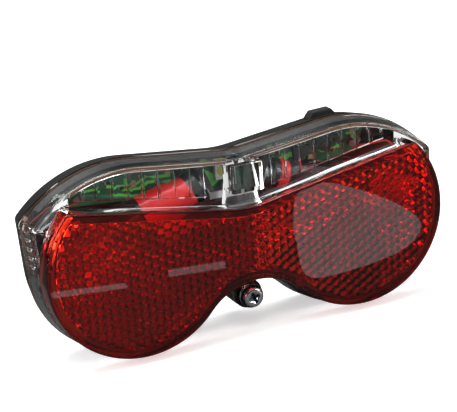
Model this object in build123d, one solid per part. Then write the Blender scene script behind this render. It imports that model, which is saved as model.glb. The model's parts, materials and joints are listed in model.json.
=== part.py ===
from build123d import *
import os
from math import cos, hypot, pi, radians, sin, sqrt, tan

# Battery rear light with a wide reflector, for the carrier plate of a bicycle.
# Millimetres. X runs to the right as a rider behind sees it, Y runs towards the
# bicycle and Z is up. The origin lies midway between the two mounting studs, on
# the plane where the housing's bosses rest on the carrier plate.
# A depth is measured back from the front face of the red panel.

# Depths of the main faces. The others follow below from what lies between them.
window_depth = 6.4          # front face of the clear window
housing_side = 9.4          # from the back edge of the clear lens to the housing's back

# Outline of the red panel, two round lobes with a wing-shaped top
lobe_r = 26.5
lobe_end_room = 5.31        # from the end of a cell's bay to the panel's outer edge
notch_drop = 30.6           # centre of the notch arc, below the lobe centres
panel_top = 9.33            # where the two top lines would meet
panel_angle = 9.85          # rise of the top lines, degrees
panel_valley_r = 32.0
panel_corner_r = 1.4

# Outline of the lens and housing, measured at the lens's back edge
rim_width = 1.5             # how much larger its lobes are than the panel's
rim_shift_x = 0.3
rim_shift_z = 0.5
rim_notch_extra = 1.9
window_height = 13.87       # top of the rim above the top of the panel
wing_angle = 6.7
valley_r = 30.0
shoulder_run = 4.5          # from the start of the shoulder to the lobe centre
shoulder_step = 10.0        # how much larger the shoulder's radius is than the rim lobe's
ear_r = 2.0
side_flare = 2.5            # how far the sides lean out towards the ears, degrees

# Walls and clearances
overrun = 1.0
fit_gap = 0.1
lens_wall = 1.6
lens_draft = 1.1            # how much the lens narrows from its rim to its window
lens_edge_r = 0.9
plinth_wall = 1.4
housing_draft = 1.5
housing_edge_r = 2.0
back_wall = 1.8
cavity_inset = 3.0
tongue_height = 3.5
gasket_height = 0.6
gasket_inset = 0.5
gasket_width = 1.1

# Red panel
panel_plate = 1.6
panel_edge_r = 0.7
panel_skirt = 1.5
prism_height = 0.7
prism_margin = 2.6
prism_gap = 0.4

# Window flutes, centre block and side prisms
flute_r = 5.0
flute_pitch = 4.55
flute_first = 12.2
flute_depth = 0.5
flute_count = 8
block_width = 9.8
block_bottom = 14.2
block_front = 0.3
block_edge_r = 1.1
side_prism = 1.3
side_prism_pitch = 2.6
side_prism_count = 6
side_prism_turn = 45.0
side_window_low = -1.6

# Screw that holds the lens, its lug and its boss
screw_reach = 3.51          # from the notch in the rim down to the screw
screw_seat_depth = 4.7
screw_r = 1.45
screw_length = 13.5
screw_head_r = 3.0
screw_head_height = 1.9
screw_cross_width = 0.9
screw_cross_length = 3.4
screw_cross_depth = 1.2
screw_cross_turn = 20.0
lug_r = 3.5
lug_collar_depth = 7.4
lug_collar_r = 4.3
lug_web = 4.4
boss_r = 4.35
boss_depth = 9.4
insert_r = 2.3
insert_length = 6.0
insert_clearance = 0.05

# Mounting studs and the bosses on the back
stud_spacing = 80.0
stud_r = 2.5
stud_length = 14.0
stud_neck_r = 2.75          # plain neck inside the boss, a little thicker than the thread
stud_head_width = 8.0
stud_head_height = 3.5
stud_hole_clearance = 0.05
stud_boss_r = 7.5
stud_boss_height = 3.0
stud_collar_r = 6.2
stud_collar_height = 1.8

# Cells, their bays and contacts
cell_r = 5.25
cell_length = 44.5
cell_window_gap = 1.05
cell_tilt = 22.0
cell_nub_r = 1.9
cell_nub_height = 1.0
sleeve_wall = 0.15
bay_x = 8.7
bay_top_room = 3.15         # from the top of a cell to the rim's lowest top point
bay_wall = 1.5
saddle_gap = 0.2
saddle_wall = 1.5
bay_front_open = 0.85       # how far a cell stands in front of its bay
bay_back_margin = 0.05
saddle_top = -1.8
bay_end_margin = 0.75
strut_height = 2.6
holder_peg_run = 24.0
holder_peg_r = 2.0
contact_thickness = 0.4
contact_half = 3.8
contact_strip = 2.0
contact_strip_z = 11.4
contact_strip_drop = 3.0
contact_tab = 2.0
contact_tab_reach = 7.0
lead_r = 0.45
lead_rise = 6.4             # from the contact's tab up to the bend
lead_back = 2.2
lead_bend_r = 2.5
spring_wire = 0.5
spring_turns = 3
spring_large_r = 3.4
spring_small_r = 1.7
spring_length = 2.8

# Circuit board and what is on it
board_thickness = 1.6
board_gap = 0.7
board_front_gap = 0.3       # behind the battery holder
board_standoff = 0.7        # in front of the housing's back wall
board_wing_low = 8.6
board_middle_low = 2.0
board_middle_half = 22.0
board_step = 8.0
board_end_reach = 12.5      # from a lobe's centre to the end of the board
board_screw_r = 1.1
board_screw_head_r = 2.0
board_screw_head_height = 1.4
board_screw_margin = 2.6
board_screw_z = 13.6
board_screw_middle_z = 4.6
board_post_r = 2.4
board_post_bite = 1.2
diode_z = 16.2
diode_size = 5.0
diode_height = 1.6
diode_window_r = 1.9
diode_window_depth = 0.4
chip_length = 5.0
chip_width = 3.9
chip_height = 1.4
leg_pitch = 1.27
leg_width = 0.4
leg_reach = 1.0
leg_thickness = 0.25
resistor_size = (2.0, 1.25, 0.5)
capacitor_size = (1.6, 2.2, 1.2)
coil_r = 2.0
coil_core_r = 1.1
coil_flange = 0.5
coil_height = 2.4

# Push button on the top, over its switch
button_x = 31.8
button_setback = 0.45       # from the gasket's back face to the button's flange
button_base = 9.0
button_top = 6.0
button_width = 4.0
button_height = 2.0
button_travel = 0.8
button_clearance = 0.25
button_flange = 0.8
button_flange_rim = 0.7
button_seal = 0.4
button_seal_gap = 0.05
plunger_r = 1.1
plunger_length = 1.6
plunger_clearance = 0.1
switch_width = 6.0
switch_height = 3.2
switch_depth = 3.3


# Sizes that follow from the stack of pieces, from the front to the back
window_back = window_depth + lens_wall
cell_depth = window_back + cell_window_gap + cell_r
bay_front_reach = cell_r - bay_front_open
bay_back_reach = cell_r + bay_back_margin
bay_half_height = cell_r + bay_end_margin
board_depth = cell_depth + bay_back_reach + board_front_gap
board_back = board_depth + board_thickness
cavity_back = board_back + board_standoff
back_depth = cavity_back + back_wall
body_depth = back_depth + stud_boss_height
rim_depth = back_depth - housing_side
ledge_depth = rim_depth + gasket_height
button_depth = ledge_depth + button_setback + button_width / 2 + button_clearance + button_flange_rim

# Sizes across that follow from the cells, which lie end to end
bay_length = cell_length + spring_length + 2 * contact_thickness
lobe_x = bay_x + (bay_length + bay_wall) * cos(radians(cell_tilt)) + lobe_end_room - lobe_r
rim_centre = (lobe_x - rim_shift_x, -rim_shift_z)
rim_r = lobe_r + rim_width
rim_top = panel_top + window_height
shoulder_x = lobe_x - shoulder_run
shoulder_r = rim_r + shoulder_step
bay_z = rim_top - bay_top_room - cell_r
board_half_width = lobe_x + board_end_reach
board_screw_x = board_half_width - board_screw_margin


# Places and slabs

def y_at(depth):
    return depth - body_depth


def at_depth(depth, face):
    """A face drawn in X and Z, stood up at a depth."""
    return Plane.XZ.offset(body_depth - depth) * face


def slab(face, front, back):
    """A face drawn in X and Z, made solid from one depth to another."""
    return extrude(at_depth(back, face), back - front)


def tapered(outline, stations):
    """A solid whose outline changes evenly between stations of depth and inset."""
    return loft([at_depth(depth, outline(inset)) for depth, inset in stations], ruled=True)


def front_rounded(solid, radius):
    return fillet(solid.faces().sort_by(Axis.Y)[0].edges(), radius)


def back_rounded(solid, radius):
    return fillet(solid.faces().sort_by(Axis.Y)[-1].edges(), radius)


def both_sides(part):
    """A piece of the right side together with its mirror image."""
    return part + mirror(part, about=Plane.YZ)


# Outline geometry in the plane of X and Z

def moved(point, direction, distance):
    return (point[0] + direction[0] * distance, point[1] + direction[1] * distance)


def towards(start, end):
    length = hypot(end[0] - start[0], end[1] - start[1])
    return ((end[0] - start[0]) / length, (end[1] - start[1]) / length)


def reach(point, direction, centre, radius):
    """Distance from a point, along a direction, to the far side of a circle."""
    gap = (point[0] - centre[0], point[1] - centre[1])
    lead = gap[0] * direction[0] + gap[1] * direction[1]
    return sqrt(lead ** 2 - gap[0] ** 2 - gap[1] ** 2 + radius ** 2) - lead


def arc(centre, start, end):
    """The arc of under half a turn about a centre, from one point to another."""
    radius = hypot(start[0] - centre[0], start[1] - centre[1])
    ray_a = towards(centre, start)
    ray_b = towards(centre, end)
    middle = towards((0, 0), (ray_a[0] + ray_b[0], ray_a[1] + ray_b[1]))
    return ThreePointArc(start, moved(centre, middle, radius), end)


def closed_face(right_edges):
    """The face inside a run of edges on the right and their mirror image."""
    left_edges = [edge.mirror(Plane.YZ) for edge in right_edges]
    return make_face(Wire(right_edges + left_edges).edges())


def valley_edges(top_z, angle, radius, inset):
    """The valley at the middle of a wing-shaped top, and its top line's start."""
    slope = radians(angle)
    normal = (-sin(slope), cos(slope))
    centre = (0, top_z + radius / cos(slope))
    low = (0, centre[1] - radius - inset)
    start = moved(centre, normal, -radius - inset)
    return arc(centre, low, start), start, normal, (cos(slope), sin(slope))


def lobe_and_notch(centre, radius, drop, start):
    """The round lobe from a point, and the notch arc up to the middle."""
    notch_centre = (0, -drop)
    tangent = moved(centre, towards(centre, notch_centre), radius)
    span = hypot(centre[0], centre[1] + drop)
    top = (0, -drop + span - radius)
    low = moved(centre, towards((0, 0), (1, -1)), radius)
    return [arc(centre, start, low), arc(centre, low, tangent),
            arc(notch_centre, tangent, top)]


def panel_outline(inset, top_inset=None):
    """The red panel's outline, drawn in by an inset."""
    top_inset = inset if top_inset is None else top_inset
    valley, start, normal, along = valley_edges(
        panel_top, panel_angle, panel_valley_r, top_inset)
    centre = (lobe_x, 0)
    radius = lobe_r - inset
    base = moved(start, normal, -panel_corner_r)
    corner = moved(base, along, reach(base, along, centre, radius - panel_corner_r))
    corner_start = moved(corner, normal, panel_corner_r)
    corner_end = moved(corner, towards(centre, corner), panel_corner_r)
    edges = [valley, Line(start, corner_start), arc(corner, corner_start, corner_end)]
    return closed_face(edges + lobe_and_notch(centre, radius, notch_drop, corner_end))


def shoulder_centre():
    slope = radians(wing_angle)
    tangent = (shoulder_x, rim_top + shoulder_x * tan(slope))
    return moved(tangent, (-sin(slope), cos(slope)), -shoulder_r)


def body_outline(inset):
    """The outline of the lens's rim, drawn in by an inset."""
    valley, start, normal, along = valley_edges(rim_top, wing_angle, valley_r, inset)
    centre = shoulder_centre()
    shoulder = moved(centre, normal, shoulder_r - inset)
    flare = radians(side_flare)
    outward = (cos(flare), -sin(flare))
    upward = (sin(flare), cos(flare))
    side = moved(rim_centre, outward, rim_r - inset)
    base = moved(side, outward, -ear_r)
    ear = moved(base, upward, reach(base, upward, centre, shoulder_r - inset - ear_r))
    ear_start = moved(ear, towards(centre, ear), ear_r)
    ear_end = moved(ear, outward, ear_r)
    edges = [valley, Line(start, shoulder), arc(centre, shoulder, ear_start),
             arc(ear, ear_start, ear_end), Line(ear_end, side)]
    drop = notch_drop + rim_notch_extra
    return closed_face(edges + lobe_and_notch(rim_centre, rim_r - inset, drop, side))


def notch_top(inset):
    """Height of the outline's notch at the middle."""
    drop = notch_drop + rim_notch_extra
    span = hypot(rim_centre[0], rim_centre[1] + drop)
    return span - rim_r + inset - drop


screw_drop = screw_reach - notch_top(0)


def lens_inset(depth):
    """How far the lens's outer face is drawn in at a depth."""
    return lens_draft * (rim_depth - depth) / (rim_depth - window_depth)


def round_post(x, z, radius, front, back):
    return slab(Pos(x, z) * Circle(radius), front, back)


def block(x_low, x_high, z_low, z_high, front, back):
    width = x_high - x_low
    height = z_high - z_low
    place = Pos((x_low + x_high) / 2, (z_low + z_high) / 2)
    return slab(place * Rectangle(width, height), front, back)


# Red reflector panel

def reflector_panel():
    plate = front_rounded(slab(panel_outline(0), 0, panel_plate), panel_edge_r)
    skirt = slab(panel_outline(0) - panel_outline(panel_skirt, 0), panel_plate, window_depth - fit_gap)
    prisms = slab(panel_outline(prism_margin), panel_plate, panel_plate + prism_height)
    return plate + skirt + prisms


plinth_front = panel_plate + prism_height + prism_gap


# Clear lens

def lens_shell():
    outer = tapered(body_outline, [(window_depth, lens_draft), (rim_depth, 0)])
    outer = front_rounded(outer, lens_edge_r)
    back = rim_depth + overrun
    cavity = tapered(body_outline, [
        (window_back, lens_inset(window_back) + lens_wall),
        (back, lens_inset(back) + lens_wall)])
    return outer - cavity


def lens_plinth():
    """The raised part of the lens that stands behind the red panel."""
    side = panel_skirt + fit_gap
    solid = slab(panel_outline(side, fit_gap), plinth_front, window_back)
    inner = panel_outline(side + plinth_wall, fit_gap + plinth_wall)
    hollow = slab(inner, plinth_front + plinth_wall, window_back + overrun)
    return solid, hollow


def flute_cutter():
    """Upright round flutes behind the two halves of the window."""
    rods = Part()
    rod_depth = window_back - flute_depth + flute_r
    for number in range(flute_count):
        x = flute_first + number * flute_pitch
        rod = Pos(x, y_at(rod_depth), 0) * Cylinder(flute_r, rim_top * 3)
        rods += rod
    inset = lens_inset(window_back) + lens_wall + fit_gap
    window = body_outline(inset) - panel_outline(-lens_wall, -lens_wall)
    window -= Rectangle(2 * (flute_first - flute_pitch / 2), 3 * rim_top)
    zone = slab(window, window_back - 2 * flute_depth, window_back + flute_depth)
    return both_sides(rods) & zone


def centre_block():
    """The solid clear block that stands in front of the lamp's diode."""
    half = block_width / 2
    top = rim_top - lens_draft
    body = block(-half, half, block_bottom, top, block_front, window_back)
    corners = body.edges().filter_by(Axis.Z).sort_by(Axis.Y)[:2]
    return fillet(corners, block_edge_r)


def side_prism_cutter():
    """Grooves along the inside of the upright side walls, which send light sideways."""
    flare = radians(side_flare)
    grooves = Part()
    wall = rim_r - lens_inset((window_back + rim_depth) / 2) - lens_wall
    for number in range(side_prism_count):
        rise = side_prism_pitch * (number + 1 / 2)
        x = rim_centre[0] + wall * cos(flare) + rise * sin(flare)
        z = side_window_low + side_prism_pitch + rise
        bar = Pos(x, z) * Rot(0, 0, side_prism_turn) * Rectangle(side_prism, side_prism)
        grooves += slab(bar, window_back + lens_edge_r, rim_depth + overrun)
    return both_sides(grooves)


def front_lens():
    plinth, hollow = lens_plinth()
    lens = lens_shell() + plinth - hollow
    lens -= flute_cutter()
    lens += centre_block()
    lens -= side_prism_cutter()
    lens += round_post(0, -screw_drop, lug_r, screw_seat_depth, boss_depth)
    lens += round_post(0, -screw_drop, lug_collar_r, lug_collar_depth, boss_depth)
    lens += block(-lug_web / 2, lug_web / 2, -screw_drop, notch_top(lens_draft) + lens_wall / 4,
                  window_depth, boss_depth)
    bore = round_post(0, -screw_drop, screw_r + insert_clearance,
                      screw_seat_depth - overrun, boss_depth + overrun)
    return lens - bore


def lens_screw():
    """Pan-head screw with a cross recess."""
    head_depth = screw_seat_depth - screw_head_height
    head = round_post(0, -screw_drop, screw_head_r, head_depth, screw_seat_depth)
    front = head.edges().filter_by(GeomType.CIRCLE).sort_by(Axis.Y)[0]
    head = fillet(front, screw_head_height / 2)
    shank = round_post(0, -screw_drop, screw_r, screw_seat_depth, screw_seat_depth + screw_length)
    cross = Rectangle(screw_cross_length, screw_cross_width)
    cross += Rectangle(screw_cross_width, screw_cross_length)
    recess = slab(Pos(0, -screw_drop) * Rot(0, 0, screw_cross_turn) * cross,
                  head_depth - overrun, head_depth + screw_cross_depth)
    return head + shank - recess


# Black rear housing

stud_x = stud_spacing / 2
head_front = back_depth - stud_head_height


def housing_shell():
    lip = fit_gap / 2
    outer = tapered(body_outline, [(ledge_depth, lip), (back_depth, housing_draft)])
    outer = back_rounded(outer, housing_edge_r)
    tongue_front = rim_depth - tongue_height
    clear = lens_wall + fit_gap
    tongue = tapered(body_outline, [
        (tongue_front, lens_inset(tongue_front) + clear),
        (rim_depth, clear), (ledge_depth + overrun, clear)])
    cavity = slab(body_outline(cavity_inset), tongue_front - overrun, cavity_back)
    shell = outer + tongue - cavity
    return shell - side_window_cutter(tongue_front)


def side_window_cutter(tongue_front):
    """Takes the tongue away behind the lens's side prisms."""
    height = side_prism_pitch * (side_prism_count + 1)
    low = side_window_low
    x_in = lobe_x + lobe_r / 2
    cut = block(x_in, x_in + lobe_r, low, low + height, tongue_front - overrun, rim_depth)
    return both_sides(cut)


def button_plane(inset):
    """Plane that touches the shoulder at the button, whose normal points out."""
    centre = shoulder_centre()
    run = button_x - centre[0]
    normal = (run / shoulder_r, sqrt(shoulder_r ** 2 - run ** 2) / shoulder_r)
    x, z = moved(centre, normal, shoulder_r - inset)
    return Plane(origin=(x, y_at(button_depth), z),
                 x_dir=(normal[1], 0, -normal[0]),
                 z_dir=(normal[0], 0, normal[1]))


button_seat = housing_draft / 2        # the housing's face lies this far inside the rim


def stud_places():
    return [(-stud_x, 0), (stud_x, 0)]


def board_screw_places():
    return [(-board_screw_x, board_screw_z), (board_screw_x, board_screw_z),
            (0, board_screw_middle_z)]


def rear_housing():
    housing = housing_shell()
    for x, z in stud_places():
        housing += round_post(x, z, stud_boss_r, cavity_back, body_depth)
        housing += round_post(x, z, stud_collar_r, cavity_back - stud_collar_height, cavity_back)
    for x, z in stud_places():
        socket = Pos(x, z) * RegularPolygon(stud_head_width / 2 + fit_gap / 2, 6, major_radius=False)
        housing -= slab(socket, cavity_back - stud_collar_height - overrun, back_depth)
        hole = stud_neck_r + stud_hole_clearance
        housing -= round_post(x, z, hole, back_depth - overrun, body_depth + overrun)
    boss = round_post(0, -screw_drop, boss_r, boss_depth, back_depth)
    housing += boss - slab(body_outline(-fit_gap), boss_depth - overrun, ledge_depth)
    web_top = notch_top(cavity_inset)
    housing += block(-boss_r, boss_r, -screw_drop, web_top, ledge_depth, back_depth)
    housing -= round_post(0, -screw_drop, insert_r, boss_depth - overrun,
                          screw_seat_depth + screw_length + overrun)
    for x, z in board_screw_places():
        housing += round_post(x, z, board_post_r, board_back, cavity_back)
    for x, z in board_screw_places():
        housing -= round_post(x, z, board_screw_r, board_back - overrun,
                              cavity_back + board_post_bite)
    tunnel = button_plane(button_seat) * Box(
        button_base + 2 * button_clearance, button_width + 2 * button_clearance, 3 * cavity_inset)
    seat_height = switch_inset - seal_inset
    seat = button_plane(seal_inset + seat_height / 2) * Box(
        button_base + button_room, button_width + button_room, seat_height)
    return housing - tunnel - seat


def housing_gasket():
    outer = body_outline(gasket_inset)
    inner = body_outline(gasket_inset + gasket_width)
    return slab(outer - inner, rim_depth, ledge_depth)


def screw_insert():
    sleeve = Circle(insert_r) - Circle(screw_r + insert_clearance)
    return slab(Pos(0, -screw_drop) * sleeve, boss_depth, boss_depth + insert_length)


def mounting_studs():
    studs = Part()
    for x, z in stud_places():
        head = Pos(x, z) * RegularPolygon(stud_head_width / 2, 6, major_radius=False)
        studs += slab(head, head_front, back_depth)
        studs += round_post(x, z, stud_neck_r, back_depth, body_depth)
        studs += round_post(x, z, stud_r, body_depth, body_depth + stud_length)
    return studs


# Circuit board and its parts

def circuit_board():
    inside = body_outline(cavity_inset + board_gap)
    half = board_half_width
    middle = board_middle_half
    step = middle + board_step
    low = Polyline((-half, board_wing_low), (-step, board_wing_low), (-middle, board_middle_low),
                   (middle, board_middle_low), (step, board_wing_low), (half, board_wing_low),
                   (half, rim_top * 2), (-half, rim_top * 2), close=True)
    board = slab(inside & make_face(low), board_depth, board_back)
    for x, z in board_screw_places():
        board -= round_post(x, z, board_screw_r + fit_gap, board_depth - overrun, board_back + overrun)
    notch_depth = plunger_inset + button_travel + fit_gap
    notch = button_plane(notch_depth / 2) * Box(
        button_base + button_room, 2 * body_depth, notch_depth)
    return board - notch


def board_screws():
    screws = Part()
    for x, z in board_screw_places():
        head = Circle(board_screw_head_r)
        screws += slab(Pos(x, z) * head, board_depth - board_screw_head_height, board_depth)
        screws += round_post(x, z, board_screw_r, board_depth, cavity_back + board_post_bite)
    return screws


def chip(x, z, width, height, thickness):
    """A small part on the front of the board."""
    return block(x - width / 2, x + width / 2, z - height / 2, z + height / 2,
                 board_depth - thickness, board_depth)


def main_diode():
    body = chip(0, diode_z, diode_size, diode_size, diode_height)
    front = board_depth - diode_height
    return body - round_post(0, diode_z, diode_window_r, front - overrun, front + diode_window_depth)


def control_chip():
    return chip(*on_board(chip_share), chip_length, chip_width, chip_height)


def chip_legs():
    legs = Part()
    chip_x, chip_z = on_board(chip_share)
    for number in (-3 / 2, -1 / 2, 1 / 2, 3 / 2):
        for side in (-1, 1):
            z = chip_z + side * (chip_width + leg_reach) / 2
            legs += chip(chip_x + number * leg_pitch, z, leg_width, leg_reach, leg_thickness)
    return legs


# Places of the small parts, as shares of the board's half width and of the
# height between its lower wing edge and the rim's top.
resistor_shares = [(-0.30, 0.62), (-0.42, 0.45), (-0.52, 0.66), (-0.66, 0.40),
                   (-0.74, 0.60), (0.38, 0.62), (0.38, 0.84), (0.90, 0.54), (0.78, 0.26)]
capacitor_shares = [(-0.59, 0.50), (-0.36, 0.74), (0.62, 0.28), (0.915, 0.76)]
coil_shares = [(0.711, 0.50), (0.824, 0.60)]
chip_share = (0.5435, 0.534)
lead_pad_share = (0.948, 0.158)


def on_board(shares):
    x_share, z_share = shares
    return x_share * board_half_width, board_wing_low + z_share * (rim_top - board_wing_low)


def small_parts(places, size):
    parts = Part()
    for shares in places:
        parts += chip(*on_board(shares), *size)
    return parts


def coil_cores():
    cores = Part()
    front = board_depth - coil_height
    for x, z in map(on_board, coil_shares):
        cores += round_post(x, z, coil_core_r, front, board_depth)
        cores += round_post(x, z, coil_r, front, front + coil_flange)
        cores += round_post(x, z, coil_r, board_depth - coil_flange, board_depth)
    return cores


def coil_windings():
    windings = Part()
    ring = Circle(coil_r - coil_flange / 2) - Circle(coil_core_r)
    for x, z in map(on_board, coil_shares):
        windings += slab(Pos(x, z) * ring, board_depth - coil_height + coil_flange,
                         board_depth - coil_flange)
    return windings


# Push button and switch

button_room = 2 * (2 * button_clearance + button_flange_rim)     # round the flange, both sides
seal_inset = cavity_inset
flange_inset = seal_inset + button_seal + button_seal_gap
plunger_inset = flange_inset + button_flange
switch_inset = plunger_inset + button_travel + fit_gap


def button_cap():
    slope_depth = (button_base - button_top) / 2
    base = button_plane(button_seat) * Rectangle(button_base, button_width)
    top_width = button_width - slope_depth / 2
    top = button_plane(button_seat - button_height) * Rectangle(button_top, top_width)
    cap = loft([base, top], ruled=True)
    depth = flange_inset - button_seat
    stem = button_plane(button_seat + depth / 2) * Box(button_base, button_width, depth)
    rim = 2 * (button_clearance + button_flange_rim)
    flange = button_plane(flange_inset + button_flange / 2) * Box(
        button_base + rim, button_width + rim, button_flange)
    return cap + stem + flange


def button_gasket():
    rim = 2 * (button_clearance + button_flange_rim)
    frame = Rectangle(button_base + rim, button_width + rim)
    frame -= Rectangle(button_base + 2 * button_clearance, button_width + 2 * button_clearance)
    return extrude(button_plane(seal_inset + button_seal) * frame, button_seal)


def switch_plunger():
    return extrude(button_plane(plunger_inset + plunger_length) * Circle(plunger_r), plunger_length)


def switch_body():
    plane = button_plane(switch_inset + switch_height)
    shift = board_depth - switch_depth / 2 - button_depth
    body = extrude(plane * Pos(0, shift) * Rectangle(switch_width, switch_depth), switch_height)
    hole_depth = plunger_length + fit_gap
    hole = button_plane(switch_inset + hole_depth) * Circle(plunger_r + plunger_clearance)
    return body - extrude(hole, hole_depth + overrun)


# Cells, battery holder and contacts. A bay's own frame starts at its inner wall:
# its x runs back, its y up across the cell and its z along the cell, outwards.

def bay_plane(run=0):
    tilt = radians(cell_tilt)
    axis = (cos(tilt), 0, -sin(tilt))
    return Plane(origin=(bay_x + run * axis[0], y_at(cell_depth), bay_z + run * axis[2]),
                 x_dir=(0, 1, 0), z_dir=axis)


def bay_slab(face, start, end):
    return extrude(bay_plane(start) * face, end - start)


def bay_rectangle(x_low, x_high, y_low, y_high):
    return Pos((x_low + x_high) / 2, (y_low + y_high) / 2) * Rectangle(x_high - x_low, y_high - y_low)


def bay_holder():
    ring = Circle(cell_r + saddle_gap + saddle_wall) - Circle(cell_r + saddle_gap)
    floor = 2 * bay_half_height
    clip = bay_rectangle(-bay_front_reach, bay_back_reach, -floor, saddle_top)
    saddle = bay_slab(ring & clip, -bay_wall, bay_length + bay_wall)
    wall = bay_rectangle(-bay_front_reach, bay_back_reach, -bay_half_height, bay_half_height)
    inner = bay_slab(wall, -bay_wall, 0)
    outer = bay_slab(wall, bay_length, bay_length + bay_wall)
    tilt = radians(cell_tilt)
    drop = cell_r + saddle_gap + saddle_wall / 2
    peg_x = bay_x + holder_peg_run * cos(tilt) - drop * sin(tilt)
    peg_z = bay_z - holder_peg_run * sin(tilt) - drop * cos(tilt)
    peg = round_post(peg_x, peg_z, holder_peg_r, cell_depth, cavity_back)
    groove = bay_slab(Circle(cell_r + saddle_gap), 0, bay_length)
    return saddle + inner + outer + (peg - groove)


def battery_holder():
    holder = both_sides(bay_holder())
    tilt = radians(cell_tilt)
    low = bay_z - bay_half_height * cos(tilt)
    half = bay_x - bay_half_height * sin(tilt) - bay_wall / 4
    strut = block(-half, half, low, low + strut_height,
                  cell_depth - bay_front_reach, cell_depth + bay_back_reach)
    return holder + strut


def cell_can(start, nub_first):
    """A cell's steel can, with its nub at the start or at the end."""
    body_length = cell_length - cell_nub_height
    body_start = start + cell_nub_height if nub_first else start
    can = bay_slab(Circle(cell_r - sleeve_wall), body_start, body_start + body_length)
    nub_start = start if nub_first else start + body_length
    return can + bay_slab(Circle(cell_nub_r), nub_start, nub_start + cell_nub_height)


def cell_sleeve(start, nub_first):
    """The printed sleeve round a can, open at both ends."""
    body_start = start + cell_nub_height if nub_first else start
    body_end = body_start + cell_length - cell_nub_height
    tube = Circle(cell_r) - Circle(cell_r - sleeve_wall)
    return bay_slab(tube, body_start, body_end)


left_start = contact_thickness
right_start = contact_thickness + spring_length


def left_side(part):
    return mirror(part, about=Plane.YZ)


def cone_coil(run, large_first):
    """A conical contact spring: one round wire on arcs that touch end to end."""
    steps = 4 * spring_turns
    travel = spring_length - spring_wire
    if large_first:
        first_r, last_r = spring_large_r, spring_small_r
    else:
        first_r, last_r = spring_small_r, spring_large_r
    plane = bay_plane(run + spring_wire / 2)

    def place(number):
        share = number / steps
        angle = 2 * pi * spring_turns * share
        radius = first_r + (last_r - first_r) * share
        return plane.from_local_coords(Vector(radius * cos(angle), radius * sin(angle), travel * share))

    def heading(number):
        share = number / steps
        angle = 2 * pi * spring_turns * share
        radius = first_r + (last_r - first_r) * share
        growth = (last_r - first_r) / (2 * pi * spring_turns)
        climb = travel / (2 * pi * spring_turns)
        local = Vector(growth * cos(angle) - radius * sin(angle),
                       growth * sin(angle) + radius * cos(angle), climb)
        world = plane.from_local_coords(local) - plane.from_local_coords(Vector(0, 0, 0))
        return world.normalized()

    edges = []
    for number in range(steps):
        edges += biarc(place(number), heading(number), place(number + 1), heading(number + 1))
    path = Wire(edges)
    ring = Plane(origin=place(0), z_dir=heading(0)) * Circle(spring_wire / 2)
    print_gap(path, run)
    return sweep(ring, path=path)


def biarc(start, start_heading, end, end_heading):
    """Two arcs that leave and arrive along the given headings."""
    chord = end - start
    turn = start_heading + end_heading
    square = turn.dot(turn) - 4
    half = chord.dot(turn)
    reach_out = (half - sqrt(half ** 2 - square * chord.dot(chord))) / square
    corner_a = start + start_heading * reach_out
    corner_b = end - end_heading * reach_out
    joint = (corner_a + corner_b) * 0.5
    middle_heading = (corner_b - corner_a).normalized()
    return [TangentArc(start, joint, tangent=start_heading),
            TangentArc(joint, end, tangent=middle_heading)]


def print_gap(path, run):
    """Prints the least gap between the wire's neighbouring turns."""
    per_turn = 24
    samples = per_turn * spring_turns
    nearest = 2 * per_turn // 3
    points = [path.position_at(number / samples) for number in range(samples + 1)]
    least = min((points[a] - points[b]).length
                for a in range(samples + 1) for b in range(a + nearest, samples + 1))
    print(f"spring at {run:.2f}: least gap between turns {least - spring_wire:.2f} mm")


def contact_springs():
    right = cone_coil(contact_thickness, True)
    left = left_side(cone_coil(left_start + cell_length, False))
    return right, left


def plate_face():
    return bay_rectangle(-contact_half, contact_half, -contact_half, contact_half)


def contact_bridge():
    """One strip, in front of the bay walls, that joins the inner ends of the cells."""
    front = bay_front_reach + contact_thickness
    face = plate_face() + bay_rectangle(-front, 0, -contact_strip_drop, 0)
    plates = both_sides(bay_slab(face, 0, contact_thickness))
    strip_top = contact_strip_z + contact_strip
    half = bay_x - (bay_z - strip_top) * tan(radians(cell_tilt)) + contact_thickness / 2
    strip = block(-half, half, contact_strip_z, contact_strip_z + contact_strip,
                  cell_depth - front, cell_depth - bay_front_reach)
    return plates + strip


def outer_contacts():
    tab = bay_rectangle(0, contact_tab, 0, contact_tab_reach)
    plate = bay_slab(plate_face() + tab, bay_length - contact_thickness, bay_length)
    return both_sides(plate)


def battery_leads():
    """A lead from each outer contact's tab to the board, held up by its solder joints."""
    plane = bay_plane(bay_length - contact_thickness / 2)
    start = plane.from_local_coords(Vector(contact_tab / 2, contact_tab_reach + lead_r / 2, 0))
    bend = start + Vector(0, lead_back, lead_rise)
    pad_x, pad_z = on_board(lead_pad_share)
    end = Vector(pad_x, y_at(board_depth - lead_r), pad_z)
    path = FilletPolyline(start, bend, end, radius=lead_bend_r)
    section = Plane(origin=start, z_dir=path.tangent_at(0)) * Circle(lead_r)
    return both_sides(sweep(section, path=path))


# Every piece under the name of its file

springs = contact_springs()

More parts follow.
